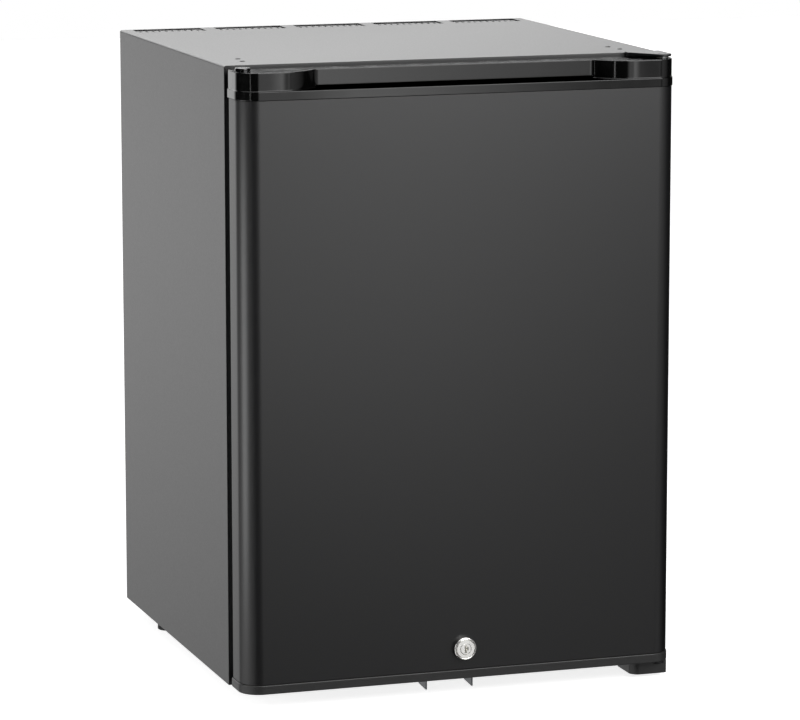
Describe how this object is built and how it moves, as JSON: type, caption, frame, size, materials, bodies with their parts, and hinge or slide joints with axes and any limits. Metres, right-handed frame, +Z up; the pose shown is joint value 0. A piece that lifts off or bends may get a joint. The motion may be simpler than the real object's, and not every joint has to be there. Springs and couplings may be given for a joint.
{
  "type": "minibar fridge",
  "caption": "Small absorption fridge: solid door hung on the right with a grip recess and key lock, wire shelves, door racks, and an open cooling unit behind.",
  "frame": {"origin": "on the floor, under the middle of the bounding box", "axes": "+X to the right seen from the front, +Y from the door to the back, +Z up"},
  "size_m": [0.402, 0.408, 0.5645],
  "materials": {
    "cabinet_paint": "satin",
    "door_paint": "satin",
    "black_steel": "satin",
    "gloss_black_plastic": "gloss",
    "satin_black_plastic": "satin",
    "black_rubber": "matte",
    "white_plastic": "satin",
    "milky_plastic": "gloss",
    "rigid_foam": "matte",
    "galvanised_steel": "satin",
    "bright_steel": "satin",
    "chrome": "polished",
    "aluminium": "satin",
    "black_pipe": "satin",
    "coated_wire": "satin",
    "nylon": "matte"
  },
  "bodies": {
    "cabinet": {"outer_shell": "cabinet_paint", "base_pan": "black_steel", "rear_panel": "galvanised_steel", "inner_liner": "white_plastic", "cabinet_foam": "rigid_foam", "vent_guard": "galvanised_steel", "top_screw_left_front": "bright_steel", "top_screw_left_rear": "bright_steel", "top_screw_right_front": "bright_steel", "top_screw_right_rear": "bright_steel", "foot_rear_left": "black_rubber", "foot_rear_right": "black_rubber", "top_hinge_bracket": "black_steel", "top_hinge_pin": "bright_steel", "top_hinge_screw_1": "bright_steel", "top_hinge_screw_2": "bright_steel", "bottom_hinge_bracket": "black_steel", "bottom_hinge_pin": "bright_steel", "hinge_washer": "bright_steel", "bottom_hinge_cover": "satin_black_plastic", "strike_bracket": "bright_steel", "evaporator_fins": "aluminium", "drip_channel": "white_plastic", "control_housing": "white_plastic", "lamp_lens": "milky_plastic", "boiler_jacket": "galvanised_steel", "rising_pipe": "black_pipe", "condenser": "black_pipe", "evaporator_pipe": "black_pipe", "absorber_coil": "black_pipe", "absorber_vessel": "black_pipe", "port_plug": "rigid_foam", "coil_hanger": "galvanised_steel", "vessel_cradle": "galvanised_steel", "drain_tube": "satin_black_plastic", "evaporation_pan": "satin_black_plastic", "terminal_box": "satin_black_plastic", "mains_inlet": "satin_black_plastic", "heater_lead": "black_rubber"},
    "door": {"door_panel": "door_paint", "door_top_cap": "gloss_black_plastic", "door_bottom_trim": "satin_black_plastic", "door_foam": "rigid_foam", "door_liner": "white_plastic", "door_gasket": "black_rubber", "door_rack_lower": "milky_plastic", "door_rack_upper": "milky_plastic", "upper_hinge_bush": "nylon", "lower_hinge_bush": "nylon", "hinge_hole_plug": "gloss_black_plastic", "lock_barrel": "chrome", "lock_nut": "bright_steel"},
    "lock": {"lock_rotor": "bright_steel", "lock_cam": "bright_steel"},
    "thermostat": {"thermostat_knob": "white_plastic"},
    "lower_shelf": {"shelf_lower": "coated_wire"},
    "upper_shelf": {"shelf_upper": "coated_wire"},
    "left_levelling_foot": {"foot_front_left": "black_rubber"},
    "right_levelling_foot": {"foot_front_right": "black_rubber"}
  },
  "joints": [
    {"name": "door_hinge", "type": "hinge", "parent": "cabinet", "child": "door", "pos_m": [0.1925, -0.18, 0.016], "axis": [0, 0, 1], "range_deg": [0, 120]},
    {"name": "lock_turn", "type": "hinge", "parent": "door", "child": "lock", "pos_m": [0.002, -0.204, 0.045], "axis": [0, -1, 0], "range_deg": [0, 90]},
    {"name": "thermostat_turn", "type": "hinge", "parent": "cabinet", "child": "thermostat", "pos_m": [0.1175, -0.097, 0.5157], "axis": [0, -1, 0], "range_deg": [0, 270]},
    {"name": "lower_shelf_slide", "type": "slide", "parent": "cabinet", "child": "lower_shelf", "axis": [0, -1, 0], "range_m": [0, 0.045]},
    {"name": "upper_shelf_slide", "type": "slide", "parent": "cabinet", "child": "upper_shelf", "axis": [0, -1, 0], "range_m": [0, 0.045]},
    {"name": "left_foot_turn", "type": "hinge", "parent": "cabinet", "child": "left_levelling_foot", "pos_m": [-0.16, -0.107, 0], "axis": [0, 0, 1], "range_deg": [0, 360]},
    {"name": "right_foot_turn", "type": "hinge", "parent": "cabinet", "child": "right_levelling_foot", "pos_m": [0.16, -0.107, 0], "axis": [0, 0, 1], "range_deg": [0, 360]}
  ]
}
